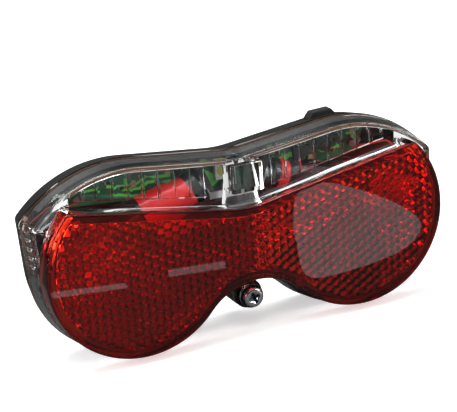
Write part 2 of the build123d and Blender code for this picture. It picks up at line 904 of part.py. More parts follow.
pieces = {
    "reflector_panel": reflector_panel(),
    "front_lens": front_lens(),
    "lens_screw": lens_screw(),
    "rear_housing": rear_housing(),
    "housing_gasket": housing_gasket(),
    "screw_insert": screw_insert(),
    "mounting_studs": mounting_studs(),
    "circuit_board": circuit_board(),
    "board_screws": board_screws(),
    "main_diode": main_diode(),
    "control_chip": control_chip(),
    "chip_legs": chip_legs(),
    "resistors": small_parts(resistor_shares, resistor_size),
    "capacitors": small_parts(capacitor_shares, capacitor_size),
    "coil_cores": coil_cores(),
    "coil_windings": coil_windings(),
    "switch_body": switch_body(),
    "switch_plunger": switch_plunger(),
    "button_cap": button_cap(),
    "button_gasket": button_gasket(),
    "battery_holder": battery_holder(),
    "left_cell": left_side(cell_can(left_start, True)),
    "left_cell_sleeve": left_side(cell_sleeve(left_start, True)),
    "right_cell": cell_can(right_start, False),
    "right_cell_sleeve": cell_sleeve(right_start, False),
    "inner_spring": springs[0],
    "outer_spring": springs[1],
    "contact_bridge": contact_bridge(),
    "outer_contacts": outer_contacts(),
    "battery_leads": battery_leads(),
}

os.makedirs("parts", exist_ok=True)
for name, piece in pieces.items():
    export_step(piece, f"parts/{name}.step")
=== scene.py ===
# %% [markdown]
# # A bicycle rear light
# The light has a wide red reflector with two round lobes, a clear ribbed window above it,
# and a black housing that bolts to the carrier plate. The shapes that carry and move come
# ready made as a fixed frame of named pieces. Here they get their finishes, and what only
# the eye needs is modelled: the field of corner cubes in the reflector, the copper tracks,
# the screw threads and the small solder joints.

import json
from math import asin, atan2, cos, degrees, pi, radians, sin, sqrt

import bmesh
import bpy
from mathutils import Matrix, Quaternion, Vector

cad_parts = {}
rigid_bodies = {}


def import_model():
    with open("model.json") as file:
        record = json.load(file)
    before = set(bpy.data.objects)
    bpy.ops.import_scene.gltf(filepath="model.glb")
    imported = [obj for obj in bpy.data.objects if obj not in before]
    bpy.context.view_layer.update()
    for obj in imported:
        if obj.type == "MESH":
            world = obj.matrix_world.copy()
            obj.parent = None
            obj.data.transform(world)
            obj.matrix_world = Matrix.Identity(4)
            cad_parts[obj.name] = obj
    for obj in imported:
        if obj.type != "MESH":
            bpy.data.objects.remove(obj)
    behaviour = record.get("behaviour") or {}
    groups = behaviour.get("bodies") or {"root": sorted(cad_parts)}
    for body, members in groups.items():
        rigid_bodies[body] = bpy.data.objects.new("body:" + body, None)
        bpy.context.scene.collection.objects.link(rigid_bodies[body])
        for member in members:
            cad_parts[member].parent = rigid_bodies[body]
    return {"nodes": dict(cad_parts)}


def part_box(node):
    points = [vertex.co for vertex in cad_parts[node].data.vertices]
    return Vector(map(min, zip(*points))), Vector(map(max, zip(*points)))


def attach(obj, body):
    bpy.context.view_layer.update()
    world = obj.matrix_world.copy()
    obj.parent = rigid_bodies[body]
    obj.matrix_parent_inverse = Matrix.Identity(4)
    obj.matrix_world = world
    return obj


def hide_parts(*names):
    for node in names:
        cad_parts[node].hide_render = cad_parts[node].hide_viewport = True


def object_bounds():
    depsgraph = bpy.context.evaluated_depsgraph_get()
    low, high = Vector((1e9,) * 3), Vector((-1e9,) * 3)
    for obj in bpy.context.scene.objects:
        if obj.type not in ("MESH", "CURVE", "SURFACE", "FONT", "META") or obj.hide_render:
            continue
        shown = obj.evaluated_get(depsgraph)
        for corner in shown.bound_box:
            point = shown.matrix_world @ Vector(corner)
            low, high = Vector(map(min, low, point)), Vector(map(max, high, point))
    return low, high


for item in list(bpy.data.objects):
    bpy.data.objects.remove(item)
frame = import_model()
cad_low, cad_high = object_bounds()
nodes = frame["nodes"]
mm = 0.001
print("pieces in the frame:", len(nodes))

# %% [markdown]
# ## The camera
# A long lens stands about half a metre away, to the left of the light and above it. The
# three angles say where it looks: across, down, and how far it is rolled about its own axis.
# The focal length and the width of the film are in millimetres, as Blender's camera takes them.

# %% Place the camera
camera_place = Vector((-166.15, -416.73, 147.80)) * mm
camera_across = radians(22.26)
camera_down = radians(17.93)
camera_roll = radians(5.10)
focal_length = 127.79
film_width = 36

aim = Vector((sin(camera_across) * cos(camera_down), cos(camera_across) * cos(camera_down),
              -sin(camera_down)))
camera_data = bpy.data.cameras.new("photo_camera")
camera_data.lens = focal_length
camera_data.sensor_width = film_width
camera_data.sensor_fit = "HORIZONTAL"
camera_data.clip_start = 10 * mm
camera = bpy.data.objects.new("photo_camera", camera_data)
camera.rotation_mode = "QUATERNION"
camera.location = camera_place
camera.rotation_quaternion = aim.to_track_quat("-Z", "Y") @ Quaternion((0, 0, 1), -camera_roll)
bpy.context.scene.collection.objects.link(camera)
bpy.context.scene.camera = camera
print("camera distance to the light:", round(camera_place.length / mm), "mm")

# %% [markdown]
# ## Helpers for materials
# Every finish is a Principled shader. What is the same all over is typed on its sockets,
# and only what changes over the surface comes from nodes.

# %% Make materials and their nodes

def new_material(name, **values):
    """A material with one Principled shader, its constants set by socket name."""
    material = bpy.data.materials.new(name)
    material.use_nodes = True
    shader = material.node_tree.nodes["Principled BSDF"]
    for key, value in values.items():
        socket = shader.inputs[key.replace("_", " ")]
        socket.default_value = (*value, 1) if isinstance(value, tuple) else value
    return material


def add_node(material, kind, **values):
    """A node in a material, with its input sockets set by name."""
    node = material.node_tree.nodes.new(kind)
    for key, value in values.items():
        node.inputs[key.replace("_", " ")].default_value = value
    return node


def wire(material, source, target):
    material.node_tree.links.new(source, target)


def shader_of(material):
    return material.node_tree.nodes["Principled BSDF"]


def dress(name, material):
    """Gives one piece of the frame its finish."""
    data = nodes[name].data
    data.materials.clear()
    data.materials.append(material)


# %% [markdown]
# ## A grain for moulded plastic
# Spark-eroded moulds leave a fine, even grain. A picture of it would need every piece laid
# out flat, so a noise in the piece's own space makes it. One node group serves every finish
# on the light, the metals too: it puts out a height for a Bump node, and a roughness and a
# colour that waver a little.

# %% Build the moulded grain group
fine_grain = 2600
broad_grain = 90
bump_strength = 0.5


def make_grain_group():
    group = bpy.data.node_groups.new("moulded_grain", "ShaderNodeTree")
    face = group.interface
    for name, value in (("Scale", 1.0), ("Roughness", 0.4), ("Spread", 0.1)):
        socket = face.new_socket(name, in_out="INPUT", socket_type="NodeSocketFloat")
        socket.default_value = value
    colour = face.new_socket("Color", in_out="INPUT", socket_type="NodeSocketColor")
    colour.default_value = (0.03, 0.03, 0.03, 1)
    face.new_socket("Color", in_out="OUTPUT", socket_type="NodeSocketColor")
    face.new_socket("Roughness", in_out="OUTPUT", socket_type="NodeSocketFloat")
    face.new_socket("Height", in_out="OUTPUT", socket_type="NodeSocketFloat")
    new, link = group.nodes.new, group.links.new
    inlet, outlet = new("NodeGroupInput"), new("NodeGroupOutput")
    place = new("ShaderNodeTexCoord")
    fine, broad = new("ShaderNodeTexNoise"), new("ShaderNodeTexNoise")
    fine.inputs["Scale"].default_value = fine_grain
    broad.inputs["Scale"].default_value = broad_grain
    size = new("ShaderNodeVectorMath")
    size.operation = "SCALE"
    link(place.outputs["Object"], size.inputs[0])
    link(inlet.outputs["Scale"], size.inputs["Scale"])
    for noise in (fine, broad):
        link(size.outputs["Vector"], noise.inputs["Vector"])
    drift = new("ShaderNodeMapRange")
    link(broad.outputs["Fac"], drift.inputs["Value"])
    drift.inputs["To Min"].default_value = -0.5
    drift.inputs["To Max"].default_value = 0.5
    spread = new("ShaderNodeMath")
    spread.operation = "MULTIPLY_ADD"
    link(drift.outputs["Result"], spread.inputs[0])
    link(inlet.outputs["Spread"], spread.inputs[1])
    link(inlet.outputs["Roughness"], spread.inputs[2])
    shade = new("ShaderNodeHueSaturation")
    tone = new("ShaderNodeMapRange")
    tone.inputs["To Min"].default_value = 0.8
    tone.inputs["To Max"].default_value = 1.2
    link(broad.outputs["Fac"], tone.inputs["Value"])
    link(tone.outputs["Result"], shade.inputs["Value"])
    link(inlet.outputs["Color"], shade.inputs["Color"])
    link(shade.outputs["Color"], outlet.inputs["Color"])
    link(spread.outputs["Value"], outlet.inputs["Roughness"])
    link(fine.outputs["Fac"], outlet.inputs["Height"])
    return group


grain_group = make_grain_group()


def grained(name, colour, roughness, spread=0.12, scale=1.0, depth=0.01, **values):
    """A moulded or cast finish: the grain group feeds colour, roughness and bump."""
    material = new_material(name, **values)
    grain = material.node_tree.nodes.new("ShaderNodeGroup")
    grain.node_tree = grain_group
    grain.inputs["Color"].default_value = (*colour, 1)
    grain.inputs["Roughness"].default_value = roughness
    grain.inputs["Spread"].default_value = spread
    grain.inputs["Scale"].default_value = scale
    bump = add_node(material, "ShaderNodeBump", Strength=bump_strength, Distance=depth * mm)
    shader = shader_of(material)
    wire(material, grain.outputs["Height"], bump.inputs["Height"])
    wire(material, grain.outputs["Color"], shader.inputs["Base Color"])
    wire(material, grain.outputs["Roughness"], shader.inputs["Roughness"])
    wire(material, bump.outputs["Normal"], shader.inputs["Normal"])
    return material


print("grain group nodes:", len(grain_group.nodes))

# %% [markdown]
# ## Dust on what faces up
# Road dust settles on top faces and in broad patches. A mask can be painted by hand, but a
# group that reads the surface's own direction and a noise needs no painting, and it lies right
# on every piece. It puts out a colour and a roughness, so it goes between the grain and the
# shader.

# %% Build the dust group
dust_colour = (0.3, 0.28, 0.24, 1)
patch_scale = 140
patch_detail = 8
least_upward = 0.2
# A Mix node has sockets for every kind of value, so its colours are found by number.
first_colour, second_colour, mixed_colour = 6, 7, 2


def make_dust_group():
    group = bpy.data.node_groups.new("road_dust", "ShaderNodeTree")
    face = group.interface
    for name, kind in (("Amount", "Float"), ("Roughness", "Float"), ("Color", "Color")):
        face.new_socket(name, in_out="INPUT", socket_type="NodeSocket" + kind)
    face.new_socket("Color", in_out="OUTPUT", socket_type="NodeSocketColor")
    face.new_socket("Roughness", in_out="OUTPUT", socket_type="NodeSocketFloat")
    new, link = group.nodes.new, group.links.new
    inlet, outlet = new("NodeGroupInput"), new("NodeGroupOutput")
    surface, upward = new("ShaderNodeNewGeometry"), new("ShaderNodeSeparateXYZ")
    link(surface.outputs["Normal"], upward.inputs[0])
    settle = new("ShaderNodeMapRange")
    settle.inputs["From Min"].default_value = least_upward
    link(upward.outputs["Z"], settle.inputs["Value"])
    place, patches = new("ShaderNodeTexCoord"), new("ShaderNodeTexNoise")
    patches.inputs["Scale"].default_value = patch_scale
    patches.inputs["Detail"].default_value = patch_detail
    link(place.outputs["Object"], patches.inputs["Vector"])
    mask = new("ShaderNodeMath")
    mask.operation = "MULTIPLY"
    link(settle.outputs["Result"], mask.inputs[0])
    link(patches.outputs["Fac"], mask.inputs[1])
    share = new("ShaderNodeMath")
    share.operation = "MULTIPLY"
    link(mask.outputs["Value"], share.inputs[0])
    link(inlet.outputs["Amount"], share.inputs[1])
    tint = new("ShaderNodeMix")
    tint.data_type = "RGBA"
    link(share.outputs["Value"], tint.inputs["Factor"])
    link(inlet.outputs["Color"], tint.inputs[first_colour])
    tint.inputs[second_colour].default_value = dust_colour
    dull = new("ShaderNodeMath")
    link(inlet.outputs["Roughness"], dull.inputs[0])
    link(share.outputs["Value"], dull.inputs[1])
    link(tint.outputs[mixed_colour], outlet.inputs["Color"])
    link(dull.outputs["Value"], outlet.inputs["Roughness"])
    return group


dust_group = make_dust_group()


def add_dust(material, amount):
    """Puts the dust group between a grained finish and its shader."""
    dust = material.node_tree.nodes.new("ShaderNodeGroup")
    dust.node_tree = dust_group
    dust.inputs["Amount"].default_value = amount
    for key in ("Base Color", "Roughness"):
        socket = shader_of(material).inputs[key]
        wire(material, socket.links[0].from_socket, dust.inputs[key.split()[-1]])
        wire(material, dust.outputs[key.split()[-1]], socket)


print("dust group nodes:", len(dust_group.nodes))

# %% [markdown]
# ## Plastics, metals and board
# The clear lens is polished polycarbonate and the red panel is dyed acrylic. The housing is
# moulded in black. Each finish could be made from its own nodes, but they differ only in
# colour, sheen and kind, so one function makes them all. The black's sheen has to stay low,
# because a shiny black turns grey wherever it mirrors something pale at a flat angle.

# %% Dress the frame
clear = grained("clear_polycarbonate", (0.97, 0.98, 0.98), 0.02, spread=0.02, depth=0.0005,
                IOR=1.58, Transmission_Weight=1.0)
red = grained("red_acrylic", (0.85, 0.028, 0.009), 0.02, spread=0.02, depth=0.0005,
              IOR=1.49, Transmission_Weight=1.0)
black = grained("black_housing", (0.008, 0.0095, 0.009), 0.5, Specular_IOR_Level=0.25)
rubber = grained("black_rubber", (0.009, 0.009, 0.009), 0.7, Specular_IOR_Level=0.3)
seal = grained("tan_silicone", (0.42, 0.25, 0.17), 0.55)
holder = grained("holder_plastic", (0.012, 0.012, 0.013), 0.36)
chrome = grained("bright_zinc", (0.74, 0.76, 0.79), 0.13, Metallic=1.0)
zinc = grained("zinc_plate", (0.6, 0.62, 0.64), 0.3, Metallic=1.0)
dull_steel = grained("dull_screw_steel", (0.3, 0.3, 0.3), 0.55, Metallic=1.0)
brass = grained("brass", (0.72, 0.5, 0.2), 0.3, Metallic=1.0)
board = grained("solder_mask", (0.03, 0.14, 0.075), 0.34)
dark_chip = grained("chip_resin", (0.02, 0.02, 0.022), 0.5)
ceramic = grained("capacitor_ceramic", (0.4, 0.27, 0.14), 0.45)
white = grained("diode_body", (0.8, 0.8, 0.74), 0.4)
copper = grained("copper_wire", (0.6, 0.25, 0.1), 0.3, Metallic=1.0)
lead_red = grained("lead_insulation", (0.5, 0.02, 0.015), 0.4)
add_dust(black, 0.08)
add_dust(rubber, 0.1)

finishes = {
    clear: ["front_lens"], red: ["reflector_panel"], black: ["rear_housing"],
    rubber: ["button_cap", "button_gasket"], holder: ["battery_holder"], chrome: ["lens_screw"],
    zinc: ["mounting_studs", "inner_spring", "outer_spring", "contact_bridge", "outer_contacts",
           "chip_legs", "left_cell", "right_cell"],
    seal: ["housing_gasket"], dull_steel: ["board_screws"],
    brass: ["screw_insert"], board: ["circuit_board"],
    dark_chip: ["control_chip", "resistors", "coil_cores", "switch_body", "switch_plunger"],
    ceramic: ["capacitors"], white: ["main_diode"], copper: ["coil_windings"],
    lead_red: ["battery_leads"],
}
for material, names in finishes.items():
    for name in names:
        dress(name, material)
print("dressed:", sum(len(names) for names in finishes.values()))

# %% [markdown]
# ## Printed sleeves on the cells
# Each cell is wrapped in a black sleeve with two red bands. A picture wrapped round it would
# do, but a band depends only on how far along the cell it is. A dot product of the surface's
# place with the cell's own direction gives that, and a ramp with hard steps turns it into
# print.

# %% Print the sleeves
sleeve_black = (0.011, 0.011, 0.012, 1)
sleeve_red = (0.5, 0.02, 0.022, 1)
cell_tilt = radians(22)
left_bands = [(3, 18), (38.6, 41.5)]
right_bands = [(2, 4.9), (25.5, 40.5)]


def printed_sleeve(name, side, bands):
    """Red bands on black, each with its start and end in millimetres from the inner end."""
    along = Vector((side * cos(cell_tilt), 0, -sin(cell_tilt)))
    reach = [along.dot(vert.co) for vert in nodes[name].data.vertices]
    material = grained(name + "_print", sleeve_black[:3], 0.22, spread=0.06)
    place = add_node(material, "ShaderNodeTexCoord")
    run = add_node(material, "ShaderNodeVectorMath")
    run.operation = "DOT_PRODUCT"
    run.inputs[1].default_value = along
    share = add_node(material, "ShaderNodeMapRange", From_Min=min(reach), From_Max=max(reach))
    ramp = add_node(material, "ShaderNodeValToRGB")
    ramp.color_ramp.interpolation = "CONSTANT"
    ramp.color_ramp.elements[0].color = sleeve_black
    ramp.color_ramp.elements.remove(ramp.color_ramp.elements[1])
    length = max(reach) - min(reach)
    for start, end in bands:
        ramp.color_ramp.elements.new(start * mm / length).color = sleeve_red
        ramp.color_ramp.elements.new(end * mm / length).color = sleeve_black
    wire(material, place.outputs["Object"], run.inputs[0])
    wire(material, run.outputs["Value"], share.inputs["Value"])
    wire(material, share.outputs["Result"], ramp.inputs["Fac"])
    wire(material, ramp.outputs["Color"], shader_of(material).inputs["Base Color"])
    dress(name, material)
    print(name, "length:", round(length / mm, 1), "mm, bands:", len(bands))


printed_sleeve("left_cell_sleeve", -1, left_bands)
printed_sleeve("right_cell_sleeve", 1, right_bands)

# %% [markdown]
# ## The red panel and its corner cubes
# A reflector of this kind is one moulding. Its front is flat and polished, and its back is a
# honeycomb of cube corners that turn light round by three total reflections. A picture of the
# pattern would stay the same from every side, so the cubes are modelled: three faces of a
# cube are tipped on their corner, laid out as a honeycomb by two Array modifiers, closed to a
# block, and cut to the outline of the pad with a Boolean. The result is welded into a copy
# of the panel, so that the panel stays one closed body for the light to pass through.

# %% Copy the panel and open its pad
pad_depth = 2.3 * mm
base_depth = 0.5 * mm
tip_depth = 2.64 * mm
weld = 0.002 * mm
panel_front = cad_low.y
pad_back = panel_front + pad_depth
cube_base = panel_front + base_depth
cube_tips = panel_front + tip_depth


def node_copy(name):
    """A merged copy of a piece of the frame."""
    copy = bmesh.new()
    copy.from_mesh(nodes[name].data)
    bmesh.ops.remove_doubles(copy, verts=copy.verts, dist=weld)
    return copy


panel_bmesh = node_copy("reflector_panel")
pad_faces = [face for face in panel_bmesh.faces
             if any(abs(vert.co.y - pad_back) < weld for vert in face.verts)]
bmesh.ops.delete(panel_bmesh, geom=pad_faces, context="FACES")
rim_edges = [edge for edge in panel_bmesh.edges if edge.is_boundary]
print("pad faces taken off:", len(pad_faces), "edges round the opening:", len(rim_edges))

# %% Sink the base that the cubes stand on
base_inset = 0.05 * mm
pad_spare = 1 * mm


def move_to_level(geometry, level):
    """Puts the corners among what an operator gave back at one level in Y."""
    for item in geometry:
        if isinstance(item, bmesh.types.BMVert):
            item.co.y = level


def open_edges(geometry):
    """The edges among what an operator gave back that have a face on one side only."""
    return [item for item in geometry if isinstance(item, bmesh.types.BMEdge) and item.is_boundary]


sunk = bmesh.ops.extrude_edge_only(panel_bmesh, edges=rim_edges)["geom"]
move_to_level(sunk, cube_base)
base_faces = bmesh.ops.contextual_create(panel_bmesh, geom=open_edges(sunk))["faces"]
bmesh.ops.inset_region(panel_bmesh, faces=base_faces, thickness=base_inset, use_boundary=True)

pad_bmesh = bmesh.new()
pad_points = [pad_bmesh.verts.new(vert.co) for vert in base_faces[0].verts]
pad_face = pad_bmesh.faces.new(pad_points)
bmesh.ops.delete(panel_bmesh, geom=base_faces, context="FACES_ONLY")
raised = bmesh.ops.extrude_face_region(pad_bmesh, geom=[pad_face])["geom"]
move_to_level(raised, cube_tips + pad_spare)
bmesh.ops.recalc_face_normals(pad_bmesh, faces=pad_bmesh.faces)
print("corners of the pad's outline:", len(pad_points))

# %% Tip three faces of a cube on their corner
cube_pitch = 2.5 * mm
cube_edge = cube_pitch / sqrt(2)


def cube_corner(turn):
    """Three square faces round a tip at the origin, which points to the back."""
    corner = bmesh.new()
    bmesh.ops.create_cube(corner, size=cube_edge)
    bmesh.ops.translate(corner, verts=corner.verts, vec=[-cube_edge / 2] * 3)
    far_faces = [face for face in corner.faces if abs(min(face.calc_center_median()) + cube_edge) < weld]
    bmesh.ops.delete(corner, geom=far_faces, context="FACES")
    upright = Vector((1, 1, 1)).rotation_difference(Vector((0, 1, 0)))
    side = upright @ Vector((1, 0, 0))
    spin = Quaternion((0, 1, 0), atan2(side.z, side.x) - turn)
    bmesh.ops.rotate(corner, verts=corner.verts, matrix=(spin @ upright).to_matrix())
    return corner


print("edge of a cube:", round(cube_edge / mm, 2), "mm")

# %% Lay the corners out as a honeycomb
column_step = cube_pitch * sqrt(3) / 2
seam_place = 1.3 * mm
block_stagger = 0.1 * mm


def bake(source):
    """The mesh that an object's modifiers give it."""
    depsgraph = bpy.context.evaluated_depsgraph_get()
    return bpy.data.meshes.new_from_object(source.evaluated_get(depsgraph))


def whole(source):
    """All corners, edges and faces of a bmesh."""
    return source.verts[:] + source.edges[:] + source.faces[:]


def make_object(name, source):
    """An object in the scene, made from a bmesh that is freed."""
    data = bpy.data.meshes.new(name)
    source.to_mesh(data)
    source.free()
    made = bpy.data.objects.new(name, data)
    bpy.context.scene.collection.objects.link(made)
    return made


def discard(*helpers):
    """Takes helper objects away together with their meshes."""
    for helper in helpers:
        bpy.data.meshes.remove(helper.data)


def honeycomb(turn, first_column, columns, spare_rows, tips):
    """A closed block of cube corners, an even count of columns wide, higher than the panel."""
    corner = cube_corner(turn)
    pair = bmesh.ops.duplicate(corner, geom=whole(corner))
    shifted = [item for item in pair["geom"] if isinstance(item, bmesh.types.BMVert)]
    bmesh.ops.translate(corner, verts=shifted, vec=(column_step, 0, cube_pitch / 2))
    rows = round((cad_high.z - cad_low.z) / cube_pitch) + 1 + 2 * spare_rows
    start = (seam_place + first_column * column_step, tips, -(rows // 2) * cube_pitch)
    bmesh.ops.translate(corner, verts=corner.verts, vec=start)
    field = make_object("field", corner)
    for count, step in ((columns // 2, (2 * column_step, 0, 0)), (rows, (0, 0, cube_pitch))):
        array = field.modifiers.new("repeat", "ARRAY")
        array.count = count
        array.use_relative_offset = False
        array.use_constant_offset = True
        array.constant_offset_displace = step
    block = bmesh.new()
    block.from_mesh(bake(field))
    discard(field)
    bmesh.ops.remove_doubles(block, verts=block.verts, dist=weld)
    rim = [edge for edge in block.edges if edge.is_boundary]
    front = bmesh.ops.extrude_edge_only(block, edges=rim)["geom"]
    move_to_level(front, cube_base - spare_rows * block_stagger)
    bmesh.ops.contextual_create(block, geom=open_edges(front))
    bmesh.ops.recalc_face_normals(block, faces=block.faces)
    print("cube corners:", columns * rows)
    return make_object("honeycomb", block)


def combine(target, operation, other):
    """One Boolean modifier on a helper object."""
    modifier = target.modifiers.new(operation.lower(), "BOOLEAN")
    modifier.operation = operation
    modifier.solver = "EXACT"
    modifier.object = other


print("step from column to column:", round(column_step / mm, 2), "mm")

# %% Cut the honeycomb to the pad and weld it in
# The right field stands a hair further back and has two rows more, so that the outer faces of
# the two never lie in one plane.
side_columns = 30
hair = 0.015 * mm
pad = make_object("pad", pad_bmesh)
left_field = honeycomb(pi, -side_columns, side_columns + 2, 1, cube_tips)
right_field = honeycomb(0, 0, side_columns, 2, cube_tips + hair)
combine(left_field, "UNION", right_field)
combine(pad, "INTERSECT", left_field)
panel_bmesh.from_mesh(bake(pad))
discard(pad, left_field, right_field)
lids = [face for face in panel_bmesh.faces
        if all(abs(vert.co.y - cube_base) < weld for vert in face.verts) and face.normal.y < 0]
bmesh.ops.delete(panel_bmesh, geom=lids, context="FACES_ONLY")
bmesh.ops.remove_doubles(panel_bmesh, verts=panel_bmesh.verts, dist=weld)
print("open edges left:", sum(not edge.is_manifold for edge in panel_bmesh.edges),
      "faces:", len(panel_bmesh.faces))


def add_piece(name, source, body, material, replaced=()):
    """A finished bmesh becomes a piece that rides on a body of the frame."""
    piece = make_object(name, source)
    piece.data.materials.append(material)
    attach(piece, body)
    if replaced:
        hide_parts(*replaced)
    return piece


add_piece("reflector_moulding", panel_bmesh, "cover", red, ["reflector_panel"])

# %% [markdown]
# ## Narrow ribs in the window
# The window is flat, with a narrow rib between one field and the next. Round flutes would
# tear what lies behind it into strips, so the copy of the lens is cut close beside each rib
# and the fields between the cuts are pressed flat.

# %% Flatten the window's fields
window_back_depth = 8.0 * mm
field_depth = 7.5 * mm
rib_half = 0.28 * mm
field_pitch = 4.55 * mm
first_field = 12.2 * mm
field_count = 8
window_back = panel_front + window_back_depth
field_back = panel_front + field_depth
first_rib = first_field - field_pitch / 2
lens = node_copy("front_lens")


def in_field(vert):
    """True for the corners on the hollow of a flute, and false on the ribs."""
    return field_back - weld < vert.co.y < window_back - weld


def in_order(items):
    """Each item once, in the order in which it is first met."""
    return list(dict.fromkeys(items))


for side in (-1, 1):
    for number in range(field_count + 1):
        for shift in (-rib_half, rib_half):
            place = side * (first_rib + number * field_pitch + shift)
            hollow = [face for face in lens.faces if any(in_field(vert) for vert in face.verts)]
            corners = in_order(vert for face in hollow for vert in face.verts)
            edges = in_order(edge for face in hollow for edge in face.edges)
            bmesh.ops.bisect_plane(lens, geom=corners + edges + hollow, dist=weld,
                                   plane_co=(place, 0, 0), plane_no=(1, 0, 0))
pressed = [vert for vert in lens.verts if in_field(vert)]
move_to_level(pressed, field_back)
print("corners pressed flat:", len(pressed),
      "open edges:", sum(not edge.is_manifold for edge in lens.edges))

# %% Shade the lens
# A large flat face keeps its own normal, and the small faces at its rim lean towards it, so
# that the glass does not look dented.
lens_sharp_angle = 14


def soften(piece, angle=35):
    """Smooth shading, with edges kept sharp above an angle in degrees."""
    piece.data.shade_smooth()
    piece.data.set_sharp_from_angle(angle=radians(angle))


window_lens = add_piece("window_lens", lens, "cover", clear, ["front_lens"])
soften(window_lens, lens_sharp_angle)
flat_first = window_lens.modifiers.new("flat_first", "WEIGHTED_NORMAL")
flat_first.weight = 100
flat_first.keep_sharp = True
window_lens.visible_shadow = False
print("lens faces:", len(window_lens.data.polygons))

# %% [markdown]
# ## Threads on the studs and the lens screw
# A rolled thread is one tooth profile that turns round the rod while it climbs. A picture of
# slanted lines would show no outline, so the tooth is modelled: a spin with a climb at every
# step makes the whole skin, and the seams of neighbouring turns are merged. Two cuts square it
# off, and the free end is drawn in to a chamfer.

# %% Spin a threaded rod
tooth_share = 0.55
flat_start_share, flat_end_share = 0.42, 0.58
steps_a_turn = 24
spare_turns = 3


def threaded_rod(place, radius, pitch, start, end, chamfer):
    """A rod along Y round a place in X and Z, threaded from its start to its end."""
    rod = bmesh.new()
    core = radius - tooth_share * pitch
    heights = ((core, 0), (radius, flat_start_share), (radius, flat_end_share), (core, 1))
    tooth = [rod.verts.new((r, start + (share - 1) * pitch, 0)) for r, share in heights]
    edges = [rod.edges.new(pair) for pair in zip(tooth, tooth[1:])]
    turns = int((end - start) / pitch) + spare_turns
    bmesh.ops.spin(rod, geom=tooth + edges, axis=(0, 1, 0), cent=(0, 0, 0), angle=2 * pi * turns,
                   dvec=(0, pitch / steps_a_turn, 0), steps=steps_a_turn * turns)
    bmesh.ops.remove_doubles(rod, verts=rod.verts, dist=weld)
    for level, outer in ((start, False), (end, True)):
        bmesh.ops.bisect_plane(rod, geom=whole(rod), dist=weld, plane_co=(0, level, 0),
                               plane_no=(0, 1, 0), clear_outer=outer, clear_inner=not outer)
    bmesh.ops.holes_fill(rod, edges=rod.edges[:])
    for vert in rod.verts:
        room = radius - chamfer + (end - vert.co.y)
        width = Vector((vert.co.x, vert.co.z)).length
        if width > room:
            vert.co.x *= room / width
            vert.co.z *= room / width
    bmesh.ops.recalc_face_normals(rod, faces=rod.faces)
    bmesh.ops.translate(rod, verts=rod.verts, vec=(place[0], 0, place[1]))
    return rod


def cut_back(source, level):
    """Takes away what lies behind a level in Y and closes the cut."""
    bmesh.ops.bisect_plane(source, geom=whole(source), dist=weld, plane_co=(0, level, 0),
                           plane_no=(0, 1, 0), clear_outer=True)
    bmesh.ops.holes_fill(source, edges=source.edges[:])


def join(target, source):
    """Adds one bmesh to another and frees it."""
    data = bpy.data.meshes.new("joined")
    source.to_mesh(data)
    source.free()
    target.from_mesh(data)
    bpy.data.meshes.remove(data)


print("steps in a turn of thread:", steps_a_turn)

# %% Thread the studs
stud_radius = 2.5 * mm
stud_reach = 40 * mm
stud_pitch = 0.8 * mm
stud_chamfer = 0.6 * mm
stud_root = 0.4 * mm
stud_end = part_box("mounting_studs")[1].y
studs = node_copy("mounting_studs")
cut_back(studs, stud_root)
for x in (-stud_reach, stud_reach):
    join(studs, threaded_rod((x, 0), stud_radius, stud_pitch, 0, stud_end, stud_chamfer))
threaded_studs = add_piece("threaded_studs", studs, "housing", zinc, ["mounting_studs"])
soften(threaded_studs)
print("stud faces:", len(threaded_studs.data.polygons))

# %% Thread the lens screw
head_height = 1.9 * mm
screw_radius = 1.45 * mm
screw_pitch = 0.5 * mm
screw_chamfer = 0.5 * mm
smooth_neck = 0.6 * mm
thread_overlap = 0.3 * mm
screw_low, screw_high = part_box("lens_screw")
screw_place = ((screw_low.x + screw_high.x) / 2, (screw_low.z + screw_high.z) / 2)
screw_seat = screw_low.y + head_height
screw = node_copy("lens_screw")
cut_back(screw, screw_seat + smooth_neck)
join(screw, threaded_rod(screw_place, screw_radius, screw_pitch, screw_seat + thread_overlap,
                         screw_high.y, screw_chamfer))

# %% Paint shade into the recess of the screw
recess_reach = 1.9 * mm
recess_top = 0.1 * mm
recess_bottom = 1.3 * mm
# Faces down in the cross recess get a second finish, a dark blue metal: painted shade for the shadow in
# the recess.
for face in screw.faces:
    middle = face.calc_center_median()
    reach = Vector((middle.x - screw_place[0], middle.z - screw_place[1])).length
    depth = middle.y - screw_low.y
    face.material_index = int(reach < recess_reach and recess_top < depth < recess_bottom)
threaded_screw = add_piece("threaded_lens_screw", screw, "screw", chrome, ["lens_screw"])
# The second finish is painted shade: a dark blue metal for the faces in the recess.
recess = grained("recess_painted_shade", (0.04, 0.05, 0.075), 0.4, Metallic=1.0)
threaded_screw.data.materials.append(recess)
soften(threaded_screw)
print("screw faces:", len(threaded_screw.data.polygons))

# %% [markdown]
# ## Wire on the coils
# A coil is one fine copper wire, wound turn beside turn. A ring with a striped bump would do
# from afar, but the window is clear, so a small circle is spun round the core while it climbs
# by its own width at every turn.

# %% Wind the coils
wire_radius = 0.09 * mm


def clusters(name):
    """The lowest and highest corner of each separate solid of a piece, in the mesh's order."""
    copy = node_copy(name)
    found = []
    seen = set()
    for first in copy.verts:
        if first in seen:
            continue
        seen.add(first)
        group = [first]
        # The group grows while it is walked, until no neighbour is new.
        for vert in group:
            for edge in vert.link_edges:
                near = edge.other_vert(vert)
                if near not in seen:
                    seen.add(near)
                    group.append(near)
        sides = list(zip(*(vert.co for vert in group)))
        found.append((Vector(map(min, sides)), Vector(map(max, sides))))
    copy.free()
    return found


